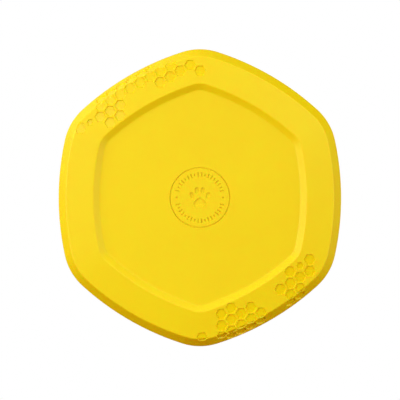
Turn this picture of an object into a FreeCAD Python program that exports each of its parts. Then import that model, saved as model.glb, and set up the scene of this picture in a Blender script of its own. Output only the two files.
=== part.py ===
import FreeCAD, Part
import math
import os

# A flying disc for dogs, moulded in one piece of soft rubber: a rounded hexagon with a sunken
# centre plate, a raised shoulder all round it, a steep bevel, and a deep rim that ends in a
# thick lip. Millimetres, +Z up. The origin is the middle of the disc at the level of the lip's
# foot. A flat side faces +X and a corner faces +Y.

V = FreeCAD.Vector

# Outline: six shallow side arcs joined by six tangent corner arcs
flat_reach = 109.4          # middle to the middle of a side
side_radius = 209.2         # the bow of a side
corner_radius = 44.7        # the rounding of a corner
sides = 6

# Face, measured inwards from the outline
bevel_width = 6.2           # plan width of the steep band next to the outline
shoulder_width = 21.1       # plan width of the raised band
step_width = 4.6            # plan width of the slope from the shoulder down to the plate

# Heights
height = 26.0               # lip foot to the top of the shoulder
shoulder_fall = 1.9         # how much lower the shoulder's outer edge is than its inner edge
bevel_angle = 58.0          # degrees from level
plate_drop = 3.8            # shoulder's inner edge down to the plate's face

# Walls
plate_thickness = 2.6
shoulder_thickness = 2.9
rim_thickness = 3.2
lip_thickness = 5.8
groove_height = 6.23        # finger groove inside the rim: bevel's foot down to the lip's shelf
rim_draft = 1.5             # degrees that the rim leans in towards its foot

# Roundings
shoulder_edge_round = 1.3   # shoulder into bevel
bevel_foot_round = 2.6      # bevel into rim
step_top_round = 1.6
step_foot_round = 1.8
inner_round = 3.0           # inside corners under the shoulder
lip_round = 2.1
lip_shelf_round = 1.2

# Honeycomb cells pressed into the bevel and the shoulder
rows_across = 3.7           # pitches across the bevel and the shoulder, laid flat
cell_wall = 0.8             # between two neighbouring cells, at the surface
cell_margin = 0.35          # between a cell and the bevel's foot or the step
cell_depth = 0.9
cell_wall_run = 0.5         # plan width of a cell's sloping side
cell_corner_round = 0.25
small_cell_size = 5.2       # a plain cell of a smaller size, one in each cluster
plate_join = 5.0            # how far inside the step's foot the plate's own prism begins
cutter_lift = 1.2           # how far a cutting solid stands above the surface that it cuts

# Emblem pressed into the plate: a circle, a ring of dashes and a paw print
emblem_radius = 23.0
emblem_line = 1.0
emblem_depth = 0.8
emblem_wall_run = 0.2       # plan width of a pressed line's sloping side
dash_margin = 2.9           # between the circle's line and the dashes
dash_length = 3.4
short_dash_length = 2.0
dash_width = 0.9
dash_round = 0.3
dash_count = 42
dash_gap = 2                # dashes left out each side of a side dot
side_dot_radius = 0.9
paw_size = 15.6             # overall height of the paw print

# Moulding gate on the underside
gate_radius = 3.0
gate_depth = 0.5

# A cluster lies across the middle of one side. Its rows run outwards and its columns across them:
# column -> rows, counted in pitches from the start cell. Even columns have whole rows and odd
# columns have half rows. "start" is that cell's place from the middle of the band that the bevel
# and the shoulder make, outwards and anticlockwise, in pitches.
upper_cells = {
    6: [1], 5: [1.5], 4: [0, 1], 3: [0.5, 1.5], 2: [0, 1], 1: [-1.5, -0.5, 0.5, 1.5],
    0: [-1, 0, 1], -1: [-1.5, -0.5, 0.5], -2: [-3, -2, -1, 0], -3: [-3.5, -2.5, -1.5, -0.5],
    -4: [-3, -2, -1], -5: [-2.5, -1.5], -6: [-4],
}
lower_cells = {
    6: [2], 4: [0, 1, 2], 3: [-0.5, 0.5, 1.5, 2.5], 2: [0, 1, 2], 1: [-0.5, 0.5, 1.5],
    0: [-2, -1, 0, 1], -1: [-1.5, -0.5, 0.5], -2: [-2, -1, 0], -3: [-3.5, -2.5, -1.5, -0.5],
    -4: [-3, -2, -1], -5: [-4.5, -3.5],
}
upper_cluster = {"facing": 120, "turn": -30.0, "start": (0.145, -0.52), "cells": upper_cells,
                 "small": (-5, -3.5)}
lower_cluster = {"facing": -60, "turn": -28.3, "start": (0.205, -0.39), "cells": lower_cells,
                 "small": (-4, -4)}

# Worked out from the values above
side_angle = 360.0 / sides
side_setback = side_radius - flat_reach                 # a side arc's centre is this far behind
arc_gap = side_radius - corner_radius                   # between the two arcs' centres
half_side = math.radians(side_angle / 2)
corner_reach = (math.sqrt(arc_gap ** 2 - (side_setback * math.sin(half_side)) ** 2)
                - side_setback * math.cos(half_side))   # middle to a corner arc's centre
joint_angle = math.degrees(math.asin(corner_reach * math.sin(half_side) / arc_gap))
step_top = bevel_width + shoulder_width
plate_edge = step_top + step_width
plate_overlap = plate_edge + plate_join
shoulder_angle = math.degrees(math.atan(shoulder_fall / shoulder_width))
step_angle = math.degrees(math.atan(plate_drop / step_width))
crown_loss = step_top_round * (math.cos(math.radians((step_angle - shoulder_angle) / 2))
                               / math.cos(math.radians((step_angle + shoulder_angle) / 2)) - 1)
crown_z = height + crown_loss                           # the corner that rounding takes down to height
shoulder_edge_z = crown_z - shoulder_fall
bevel_foot_z = shoulder_edge_z - bevel_width * math.tan(math.radians(bevel_angle))
plate_z = crown_z - plate_drop
plate_under_z = plate_z - plate_thickness
lip_height = bevel_foot_z - groove_height
bevel_slope = bevel_width / math.cos(math.radians(bevel_angle))
cell_pitch = (bevel_slope + shoulder_width) / rows_across
cell_size = cell_pitch - cell_wall                      # across flats at the surface
dash_ring_radius = emblem_radius - emblem_line / 2 - dash_margin - dash_length / 2


def polar(radius, degrees):
    return V(radius * math.cos(math.radians(degrees)), radius * math.sin(math.radians(degrees)), 0)


def rounded_wire(corners):
    """A closed wire through (point, radius) corners, with each corner rounded by a tangent arc."""
    ends = []
    for index, (point, radius) in enumerate(corners):
        before = corners[index - 1][0] - point
        after = corners[(index + 1) % len(corners)][0] - point
        half_turn = before.getAngle(after) / 2
        if radius <= 0:
            ends.append((point, None, point))
            continue
        before.normalize()
        after.normalize()
        reach = radius / math.tan(half_turn)
        inward = before + after
        inward.normalize()
        middle = point + inward * (radius / math.sin(half_turn) - radius)
        ends.append((point + before * reach, middle, point + after * reach))
    edges = []
    for index, (start, middle, end) in enumerate(ends):
        if middle is not None:
            edges.append(Part.Arc(start, middle, end).toShape())
        following = ends[(index + 1) % len(ends)][0]
        if end.distanceToPoint(following) > 1e-6:
            edges.append(Part.LineSegment(end, following).toShape())
    return Part.Wire(edges)


def moved_in(start, end, distance):
    """The line from start to end, moved towards its right-hand side."""
    along = end - start
    along.normalize()
    return start + V(along.z, 0, -along.x) * distance, along


def crossing(first, second):
    """Where two (point, direction) lines in the section's plane meet."""
    (point_a, along_a), (point_b, along_b) = first, second
    gap = point_b - point_a
    share = (gap.x * along_b.z - gap.z * along_b.x) / (along_a.x * along_b.z - along_a.z * along_b.x)
    return point_a + along_a * share


def section():
    """The wall's cross-section as (point, rounding) corners, with x measured in from the outline."""
    join = V(plate_overlap, 0, plate_z)
    step_foot = V(plate_edge, 0, plate_z)
    crown = V(step_top, 0, crown_z)
    shoulder_edge = V(bevel_width, 0, shoulder_edge_z)
    bevel_foot = V(0, 0, bevel_foot_z)
    foot = V(bevel_foot_z * math.tan(math.radians(rim_draft)), 0, 0)

    under_plate = moved_in(step_foot, join, plate_thickness)
    under_step = moved_in(crown, step_foot, shoulder_thickness)
    under_shoulder = moved_in(shoulder_edge, crown, shoulder_thickness)
    under_bevel = moved_in(bevel_foot, shoulder_edge, shoulder_thickness)
    inside_rim = moved_in(foot, bevel_foot, rim_thickness)
    inside_lip = V(foot.x + lip_thickness, 0, 0)
    lip_shelf = inside_lip + V(0, 0, lip_height)
    lip_slope = (lip_shelf, V(-1, 0, 1))
    return [
        (join, 0),
        (step_foot, step_foot_round),
        (crown, step_top_round),
        (shoulder_edge, shoulder_edge_round),
        (bevel_foot, bevel_foot_round),
        (foot, lip_round),
        (inside_lip, lip_round),
        (lip_shelf, lip_shelf_round),
        (crossing(lip_slope, inside_rim), lip_shelf_round),
        (crossing(inside_rim, under_bevel), inner_round),
        (crossing(under_bevel, under_shoulder), inner_round),
        (crossing(under_shoulder, under_step), inner_round),
        (crossing(under_step, under_plate), step_foot_round),
        (V(plate_overlap, 0, plate_under_z), 0),
    ]


def turned_band(arc_radius, start, sweep, centre):
    """The wall over one arc of the outline, turned about that arc's own centre."""
    corners = [(V(arc_radius - point.x, 0, point.z), rounding) for point, rounding in section()]
    face = Part.Face(rounded_wire(corners))
    band = face.revolve(V(0, 0, 0), V(0, 0, 1), sweep)
    band.rotate(V(0, 0, 0), V(0, 0, 1), start)
    band.translate(centre)
    return band


def outline_wire(inset, z):
    """The outline moved inwards by inset, as a wire of side and corner arcs."""
    edges = []
    for index in range(sides):
        facing = index * side_angle
        side_centre = polar(-side_setback, facing) + V(0, 0, z)
        corner_centre = polar(corner_reach, facing + side_angle / 2) + V(0, 0, z)
        for centre, radius, first, last in (
            (side_centre, side_radius - inset, facing - joint_angle, facing + joint_angle),
            (corner_centre, corner_radius - inset, facing + joint_angle, facing + side_angle - joint_angle),
        ):
            arc = Part.Arc(centre + polar(radius, first), centre + polar(radius, (first + last) / 2),
                           centre + polar(radius, last))
            edges.append(arc.toShape())
    return Part.Wire(edges)


def blank():
    """The disc before anything is pressed into it."""
    plate = Part.Face(outline_wire(plate_overlap, plate_under_z)).extrude(V(0, 0, plate_thickness))
    bands = []
    for index in range(sides):
        facing = index * side_angle
        bands.append(turned_band(side_radius, facing - joint_angle, 2 * joint_angle,
                                 polar(-side_setback, facing)))
        bands.append(turned_band(corner_radius, facing + joint_angle, side_angle - 2 * joint_angle,
                                 polar(corner_reach, facing + side_angle / 2)))
    return plate.multiFuse(bands).removeSplitter()


def inset_at(point):
    """How far a point is in from the outline, and the outline's outward direction there."""
    facing = round(math.degrees(math.atan2(point.y, point.x)) / side_angle) * side_angle
    from_side = point - polar(-side_setback, facing)
    bearing = math.degrees(math.atan2(from_side.y, from_side.x)) - facing
    bearing = (bearing + 180) % 360 - 180
    if abs(bearing) <= joint_angle:
        radius, outward = side_radius, from_side
    else:
        corner_facing = facing + math.copysign(side_angle / 2, bearing)
        radius, outward = corner_radius, point - polar(corner_reach, corner_facing)
    inset = radius - outward.Length
    outward.normalize()
    return inset, outward


def slid_to(inset, point, way):
    """The point, slid along way until it is that far in from the outline."""
    for _ in range(8):
        inset_now, outward = inset_at(point)
        point = point + way * ((inset_now - inset) / outward.dot(way))
    return point


def hexagon(across, z):
    """A hexagon with rounded corners and with flats facing +Y and -Y."""
    reach = across / math.sqrt(3)
    corners = [(polar(reach, 60 * index) + V(0, 0, z), cell_corner_round) for index in range(6)]
    return rounded_wire(corners)


def cell_cutter(size):
    """A cell's cutting solid at the origin: narrow at the floor and straight above the surface."""
    floor = hexagon(size - 2 * cell_wall_run, -cell_depth)
    mouth = hexagon(size, 0)
    lid = hexagon(size, cutter_lift)
    return Part.makeLoft([floor, mouth, lid], True, True)


def laid_on(cutter, point, z, fall, turn):
    """A cutter tipped so that it stands square on a surface that falls outwards by fall degrees."""
    outward = inset_at(point)[1]
    piece = cutter.copy()
    piece.rotate(V(0, 0, 0), V(0, 0, 1), turn)
    piece.rotate(V(0, 0, 0), V(-outward.y, outward.x, 0), fall)
    piece.translate(point + V(0, 0, z))
    return piece


def cell(point, row_way, size, turn):
    """Cutters for one cell, folded over the shoulder's edge where it reaches past it."""
    cutter = cell_cutter(size)
    half = size / 2
    deepest_inset = step_top - half - cell_margin
    if inset_at(point)[0] > deepest_inset:
        point = slid_to(deepest_inset, point, row_way)
    past_edge = bevel_width - inset_at(point)[0]
    pieces = []
    if past_edge < half:
        z = shoulder_edge_z - past_edge * math.tan(math.radians(shoulder_angle))
        pieces.append(laid_on(cutter, point, z, shoulder_angle, turn))
    if past_edge > -half:
        down_slope = min(past_edge, bevel_slope - half - cell_margin)
        run = down_slope * math.cos(math.radians(bevel_angle))
        z = shoulder_edge_z - down_slope * math.sin(math.radians(bevel_angle))
        pieces.append(laid_on(cutter, slid_to(bevel_width - run, point, row_way), z, bevel_angle, turn))
    return pieces


def cluster_cutters(cluster):
    facing = cluster["facing"]
    band_middle = (shoulder_width - bevel_slope) / 2        # in from the shoulder's outer edge
    start_out, start_across = cluster["start"]
    start = (polar(flat_reach - bevel_width - band_middle + start_out * cell_pitch, facing)
             + polar(start_across * cell_pitch, facing + 90))
    row_way = polar(1, facing + cluster["turn"])
    column_way = polar(math.cos(math.radians(30)), facing + cluster["turn"] - 90)
    hexagon_turn = facing + cluster["turn"] - 90
    places = [(column, row, cell_size) for column, rows in cluster["cells"].items() for row in rows]
    places.append(cluster["small"] + (small_cell_size,))
    cutters = []
    for column, row, size in places:
        point = start + (column_way * column + row_way * row) * cell_pitch
        cutters += cell(point, row_way, size, hexagon_turn)
    return cutters


def pressed(outline):
    """A cutting solid with sloping sides for the plate. outline(growth) is its wire, grown by growth."""
    floor = outline(-emblem_wall_run)
    mouth = outline(emblem_wall_run * cutter_lift / emblem_depth)
    floor.translate(V(0, 0, plate_z - emblem_depth))
    mouth.translate(V(0, 0, plate_z + cutter_lift))
    return Part.makeLoft([floor, mouth], True, True)


def emblem_circle():
    """A ring of the pressed line's own section, turned about the disc's middle."""
    mouth_z = plate_z + cutter_lift
    mouth = emblem_line / 2 + emblem_wall_run * cutter_lift / emblem_depth
    floor = emblem_line / 2 - emblem_wall_run
    corners = [V(emblem_radius - mouth, 0, mouth_z), V(emblem_radius + mouth, 0, mouth_z),
               V(emblem_radius + floor, 0, plate_z - emblem_depth),
               V(emblem_radius - floor, 0, plate_z - emblem_depth)]
    face = Part.Face(Part.makePolygon(corners + corners[:1]))
    return face.revolve(V(0, 0, 0), V(0, 0, 1), 360)


def dash(length):
    """One dash on +X, lengthwise along the radius."""
    def outline(growth):
        inner = dash_ring_radius - length / 2 - growth
        outer = dash_ring_radius + length / 2 + growth
        half = dash_width / 2 + growth
        corners = [V(inner, -half, 0), V(outer, -half, 0), V(outer, half, 0), V(inner, half, 0)]
        return rounded_wire([(corner, dash_round + growth) for corner in corners])
    return pressed(outline)


def side_dot():
    """The round dot on +X."""
    floor_radius = side_dot_radius - emblem_wall_run
    mouth_radius = side_dot_radius + emblem_wall_run * cutter_lift / emblem_depth
    floor_middle = V(dash_ring_radius, 0, plate_z - emblem_depth)
    return Part.makeCone(floor_radius, mouth_radius, emblem_depth + cutter_lift, floor_middle)


def emblem_dashes():
    """Radial dashes round a ring, every third one short, with a dot at each side among them."""
    cutters = []
    half_ring = dash_count // 2
    for index in range(dash_count):
        from_dot = min(index % half_ring, half_ring - index % half_ring)
        if 0 < from_dot < dash_gap:
            continue
        if from_dot == 0:
            cutter = side_dot()
        else:
            cutter = dash(dash_length if index % 3 else short_dash_length)
        cutter.rotate(V(0, 0, 0), V(0, 0, 1), index * 360.0 / dash_count)
        cutters.append(cutter)
    return cutters


def toe_pad(x, y, width, length, lean):
    """A pad with round ends whose long axis leans from +Y."""
    def outline(growth):
        half_width, half_length = width / 2 + growth, length / 2 + growth
        corners = [V(-half_width, -half_length, 0), V(half_width, -half_length, 0),
                   V(half_width, half_length, 0), V(-half_width, half_length, 0)]
        return rounded_wire([(corner, 0.95 * half_width) for corner in corners])
    pad = pressed(outline)
    pad.rotate(V(0, 0, 0), V(0, 0, 1), lean)
    pad.translate(V(x, y, 0))
    return pad


def heel_pad(unit):
    """A rounded three-cornered pad with a hollow lower edge."""
    corners = [(V(0, 1.4, 0), 3.0), (V(-5.6, -4.4, 0), 2.0), (V(-4.2, -7.4, 0), 1.6),
               (V(0, -5.8, 0), 3.0), (V(4.2, -7.4, 0), 1.6), (V(5.6, -4.4, 0), 2.0)]
    def outline(growth):
        wire = rounded_wire([(corner * unit, rounding * unit) for corner, rounding in corners])
        return wire.makeOffset2D(growth)
    return pressed(outline)


def paw_print():
    """Four toe pads over one heel pad. The pads' places are in sixteenths of the print's height."""
    unit = paw_size / 16.0
    cutters = [heel_pad(unit)]
    for x, y, width, length, lean in ((2.3, 5.6, 3.3, 5.0, 6), (6.3, 1.9, 3.1, 4.6, 24)):
        for side in (-1, 1):
            cutters.append(toe_pad(side * x * unit, y * unit, width * unit, length * unit, -side * lean))
    return cutters


def gate_mark():
    return Part.makeCylinder(gate_radius, gate_depth, V(0, 0, plate_under_z))


def disc():
    cutters = [emblem_circle(), gate_mark()] + emblem_dashes() + paw_print()
    cutters += cluster_cutters(upper_cluster) + cluster_cutters(lower_cluster)
    return blank().cut(cutters)


os.makedirs("parts", exist_ok=True)
body = disc()
solids = body.Solids
print("solids", len(solids), "valid", body.isValid(), "volume cm3", round(body.Volume / 1000, 2))
print("corner reach", round(corner_reach + corner_radius, 2), "joint angle", round(joint_angle, 2))
print("box", body.BoundBox)
solids[0].exportStep("parts/disc.step")
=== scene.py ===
import math

import bpy
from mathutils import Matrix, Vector


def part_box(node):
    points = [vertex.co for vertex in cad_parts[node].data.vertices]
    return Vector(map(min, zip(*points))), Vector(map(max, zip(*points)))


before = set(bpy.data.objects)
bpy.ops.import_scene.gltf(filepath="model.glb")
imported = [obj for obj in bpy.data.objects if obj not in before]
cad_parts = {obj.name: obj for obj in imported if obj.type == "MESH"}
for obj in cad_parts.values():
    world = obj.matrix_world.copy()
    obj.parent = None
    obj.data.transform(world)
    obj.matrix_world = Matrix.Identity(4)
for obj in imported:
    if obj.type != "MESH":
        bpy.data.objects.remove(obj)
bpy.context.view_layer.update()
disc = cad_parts["disc"]
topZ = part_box("disc")[1].z
print("frame loaded:", sorted(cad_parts))


class Value:        # one output socket, usable in sums
    def __init__(self, tree, socket):
        self.tree = tree
        self.socket = socket

    def maths(self, operation, *parts):
        return self.tree.add("ShaderNodeMath", {"operation": operation}, dict(enumerate(parts)))

    def __add__(self, other):
        return self.maths("ADD", self, other)

    def __sub__(self, other):
        return self.maths("SUBTRACT", self, other)

    def __rsub__(self, other):
        return self.maths("SUBTRACT", other, self)

    def __mul__(self, other):
        return self.maths("MULTIPLY", self, other)

    def __pow__(self, other):
        return self.maths("POWER", self, other)

    def __lt__(self, other):
        return self.maths("LESS_THAN", self, other)

    def __gt__(self, other):
        return self.maths("GREATER_THAN", self, other)

    __radd__ = __add__
    __rmul__ = __mul__

    def smooth(self, low, high):        # 0 below low, 1 above high
        settings = {"interpolation_type": "SMOOTHSTEP"}
        return self.tree.add("ShaderNodeMapRange", settings, {0: self, 1: low, 2: high, 3: 0.0, 4: 1.0})

    def choose(self, whenZero, whenOne):        # self is the share of whenOne
        return whenZero + (whenOne - whenZero) * self


class NodeTree:
    def __init__(self, owner):
        owner.use_nodes = True
        self.nodes = owner.node_tree.nodes
        self.links = owner.node_tree.links
        self.nodes.clear()

    def add(self, kind, settings=None, sockets=None, output=0):
        node = self.nodes.new(kind)
        for name, value in (settings or {}).items():
            setattr(node, name, value)
        for name, value in (sockets or {}).items():
            if isinstance(value, Value):
                self.links.new(value.socket, node.inputs[name])
            else:
                node.inputs[name].default_value = value
        return Value(self, node.outputs[output]) if len(node.outputs) else None

    def mixColour(self, share, first, second):
        settings = {"data_type": "RGBA"}
        return self.add("ShaderNodeMix", settings, {0: share, 6: first, 7: second}, output=2)

    def vectors(self, operation, *parts):        # a vector from vectors
        return self.add("ShaderNodeVectorMath", {"operation": operation}, dict(enumerate(parts)))

    def scaled(self, vector, factor):
        return self.add("ShaderNodeVectorMath", {"operation": "SCALE"}, {0: vector, "Scale": factor})

    def noise(self, place, size, detail=2.0, roughness=0.55):        # size is the noise's grain in metres
        settings = {"noise_dimensions": "3D"}
        sockets = {"Vector": place, "Scale": 1.0 / size, "Detail": detail, "Roughness": roughness}
        return self.add("ShaderNodeTexNoise", settings, sockets)


discShape = {        # the disc's own sizes, in metres and degrees
    "flatReach": 0.1094,
    "sideRadius": 0.2092,
    "cornerRadius": 0.0447,
    "bevelWidth": 0.0062,
    "bevelAngle": 58.0,
    "shoulderWidth": 0.0211,
    "shoulderFall": 0.0019,
    "cellDepth": 0.0009,
    "stepMargin": 0.001,        # kept satin beside the step, whose rounding dips as a cell does
    "footMargin": 0.0008,        # kept satin beside the outline, for the same reason
}

discRubber = {
    "yellow": (0.850, 0.652, 0.0012, 1.0),
    "deepYellow": (0.842, 0.634, 0.0010, 1.0),
    "satin": 0.42,        # roughness of the textured mould surface
    "polished": 0.24,        # roughness of the cells' floors
    "satinSpread": 0.06,
    "polishedSpread": 0.03,
    "floorStart": 0.55,        # shares of the cells' depth between which the floor's finish begins
    "floorFull": 0.9,
    "floorSmoothing": 0.8,        # how much of the grain a floor loses
    "specular": 0.25,
    "scatterDepth": 0.0016,
    "scatterShare": 0.5,
    "scatterTint": (1.0, 0.32, 0.06),
    "grainSize": 0.00035,
    "grainHeight": 0.000014,
    "flowSize": 0.055,
    "mottleSize": 0.0035,
    "flowShare": 0.7,        # of the flow in the colour's noise; the mottle has the rest
    "deepStart": 0.35,
    "deepFull": 0.7,
}


def insetFromOutline(tree, x, y):
    # how far a point is in from the rounded hexagon, from the two arcs of one twelfth of it
    sideRadius, cornerRadius = discShape["sideRadius"], discShape["cornerRadius"]
    setback = sideRadius - discShape["flatReach"]
    gap = sideRadius - cornerRadius
    halfSide = math.pi / 6
    cornerReach = math.sqrt(gap ** 2 - (setback * math.sin(halfSide)) ** 2) - setback * math.cos(halfSide)
    cornerX, cornerY = cornerReach * math.cos(halfSide), cornerReach * math.sin(halfSide)
    angle = tree.add("ShaderNodeMath", {"operation": "ARCTAN2"}, {0: y, 1: x})
    folded = angle.maths("PINGPONG", angle, halfSide)
    radius = (x * x + y * y) ** 0.5
    along = radius * folded.maths("COSINE", folded)
    across = radius * folded.maths("SINE", folded)
    fromSide = sideRadius - ((along + setback) ** 2.0 + across * across) ** 0.5
    fromCorner = cornerRadius - ((along - cornerX) ** 2.0 + (across - cornerY) ** 2.0) ** 0.5
    inCorner = across > (along + setback) * (cornerY / (cornerX + setback))
    return inCorner.choose(fromSide, fromCorner)


def cellFloors(tree, x, y, z):
    # 1 on the floors of the honeycomb cells, 0 on the surface round them
    shape = discShape
    inset = insetFromOutline(tree, x, y)
    stepTop = shape["bevelWidth"] + shape["shoulderWidth"]
    edgeZ = topZ - shape["shoulderFall"]
    bevelAngle = math.radians(shape["bevelAngle"])
    shoulderSlope = shape["shoulderFall"] / shape["shoulderWidth"]
    shoulderDepth = (inset - shape["bevelWidth"]) * shoulderSlope + edgeZ - z
    bevelDepth = (edgeZ - (shape["bevelWidth"] - inset) * math.tan(bevelAngle) - z) * math.cos(bevelAngle)
    onShoulder = (inset > shape["bevelWidth"]) * (inset < stepTop - shape["stepMargin"])
    onBevel = (inset > shape["footMargin"]) * (inset < shape["bevelWidth"])
    depth = shoulderDepth * onShoulder + bevelDepth * onBevel
    floorStart = discRubber["floorStart"] * shape["cellDepth"]
    floorFull = discRubber["floorFull"] * shape["cellDepth"]
    return depth.smooth(floorStart, floorFull)


def makeRubber():
    look = discRubber
    material = bpy.data.materials.new("yellowRubber")
    tree = NodeTree(material)
    place = tree.add("ShaderNodeTexCoord", output="Object")
    split = tree.add("ShaderNodeSeparateXYZ", sockets={"Vector": place})
    axes = [Value(tree, socket) for socket in split.socket.node.outputs]
    floors = cellFloors(tree, *axes)

    flow = tree.noise(place, look["flowSize"])
    mottle = tree.noise(place, look["mottleSize"], detail=3.0)
    grain = tree.noise(place, look["grainSize"], detail=1.0)
    unevenness = flow * look["flowShare"] + mottle * (1.0 - look["flowShare"])
    deep = unevenness.smooth(look["deepStart"], look["deepFull"])
    colour = tree.mixColour(deep, look["yellow"], look["deepYellow"])
    satin = look["satin"] + (mottle - 0.5) * look["satinSpread"]
    polished = look["polished"] + (mottle - 0.5) * look["polishedSpread"]
    roughness = floors.choose(satin, polished)
    height = grain * (1.0 - floors * look["floorSmoothing"])
    bumpSockets = {"Height": height, "Distance": look["grainHeight"], "Strength": 1.0}
    bump = tree.add("ShaderNodeBump", {}, bumpSockets)
    shader = tree.add("ShaderNodeBsdfPrincipled", {"subsurface_method": "RANDOM_WALK"}, {
        "Base Color": colour,
        "Roughness": roughness,
        "Normal": bump,
        "Specular IOR Level": look["specular"],
        "Subsurface Weight": look["scatterShare"],
        "Subsurface Radius": look["scatterTint"],
        "Subsurface Scale": look["scatterDepth"],
    })
    tree.add("ShaderNodeOutputMaterial", {}, {"Surface": shader})
    return material


def finishDisc():
    rubber = makeRubber()
    disc.data.materials.clear()
    disc.data.materials.append(rubber)
    print("disc: rubber on", len(disc.data.polygons), "faces")


finishDisc()


sky = {
    "overhead": (0.12, 0.12, 0.12),
    "backdrop": (1.0, 1.0, 1.0, 1.0),
    "horizon": -0.25,        # where the sky has faded out, as the height of a unit direction
    "risen": 0.1,        # where it is at its full strength
    "underneath": (0.21, 0.015, 0.0),
}

skyPatches = {        # soft-edged bright patches, as seen from the disc, in degrees
    "right": {"bearing": 0, "lean": 75, "full": 10, "gone": 45, "tint": (1.58, 1.58, 1.50)},
    "far": {"bearing": 90, "lean": 75, "full": 10, "gone": 45, "tint": (1.09, 1.09, 1.05)},
    "left": {"bearing": 180, "lean": 75, "full": 10, "gone": 45, "tint": (1.07, 1.07, 1.05)},
    "near": {"bearing": 270, "lean": 75, "full": 10, "gone": 45, "tint": (0.50, 0.03, 0.0)},
    "lowCard": {"bearing": 140, "lean": 112, "full": 12, "gone": 40, "tint": (0.8, 0.8, 0.8)},
}

lamps = {
    "key": {"power": 16.9, "bearing": 165, "lean": 50, "width": 50, "tint": (1.0, 1.0, 1.0)},
    "fill": {"power": 7.0, "bearing": 40, "lean": 32, "width": 30, "tint": (1.0, 1.0, 0.9)},
    "card": {"power": 1.5, "bearing": 150, "lean": 14, "width": 16, "tint": (1.0, 1.0, 1.0)},
}

lampDistance = 1.6


def aimed(bearing, lean):        # a unit direction, lean degrees off straight up
    bearing, lean = math.radians(bearing), math.radians(lean)
    return Vector((math.sin(lean) * math.cos(bearing), math.sin(lean) * math.sin(bearing), math.cos(lean)))


def makeSky():
    world = bpy.data.worlds.new("studioSky")
    bpy.context.scene.world = world
    tree = NodeTree(world)
    direction = tree.add("ShaderNodeTexCoord", output="Generated")
    split = tree.add("ShaderNodeSeparateXYZ", sockets={"Vector": direction})
    upwards = Value(tree, split.socket.node.outputs["Z"])
    above = upwards.smooth(sky["horizon"], sky["risen"])
    glow = tree.mixColour(above, (*sky["underneath"], 1.0), (*sky["overhead"], 1.0))
    for patch in skyPatches.values():
        aim = tuple(aimed(patch["bearing"], patch["lean"]))
        settings = {"operation": "DOT_PRODUCT"}
        facing = tree.add("ShaderNodeVectorMath", settings, {0: direction, 1: aim}, output="Value")
        gone, full = math.cos(math.radians(patch["gone"])), math.cos(math.radians(patch["full"]))
        share = facing.smooth(gone, full)
        glow = tree.vectors("ADD", glow, tree.scaled(patch["tint"], share))
    seen = tree.add("ShaderNodeLightPath", output="Is Camera Ray")
    colour = tree.mixColour(seen, glow, sky["backdrop"])
    background = tree.add("ShaderNodeBackground", {}, {"Color": colour, "Strength": 1.0})
    tree.add("ShaderNodeOutputWorld", {}, {"Surface": background})
    print("sky:", len(skyPatches), "patches")


def softBox(name, lamp):
    light = bpy.data.lights.new(name, "AREA")
    light.shape = "DISK"
    light.size = 2 * lampDistance * math.tan(math.radians(lamp["width"] / 2))
    light.energy = lamp["power"]
    light.color = lamp["tint"]
    holder = bpy.data.objects.new(name, light)
    aim = aimed(lamp["bearing"], lamp["lean"])
    holder.location = aim * lampDistance
    holder.rotation_mode = "QUATERNION"
    holder.rotation_quaternion = aim.to_track_quat("Z", "Y")
    holder.visible_camera = False
    bpy.context.scene.collection.objects.link(holder)


def lightStudio():
    makeSky()
    for name, lamp in lamps.items():
        softBox(name, lamp)
    bpy.context.scene.view_settings.view_transform = "Standard"
    print("lamps:", ", ".join(lamps))


lightStudio()


cameraSet = {
    "lens": 200.0,
    "sensorWidth": 36.0,
    "clip": (0.1, 100.0),
    "frameWidth": 0.3095,        # width of the view at the disc's outline
    "outlineHeight": 0.0145,
    "aside": (0.00008, -0.00178),        # the disc stands a touch above the middle of the view
}


def placeCamera():
    lens = bpy.data.cameras.new("camera")
    lens.lens = cameraSet["lens"]
    lens.sensor_width = cameraSet["sensorWidth"]
    lens.clip_start, lens.clip_end = cameraSet["clip"]
    camera = bpy.data.objects.new("camera", lens)
    height = cameraSet["frameWidth"] * lens.lens / lens.sensor_width + cameraSet["outlineHeight"]
    camera.location = (cameraSet["aside"][0], cameraSet["aside"][1], height)
    bpy.context.scene.collection.objects.link(camera)
    bpy.context.scene.camera = camera
    print("camera: straight above, at", round(height, 3), "m")


placeCamera()
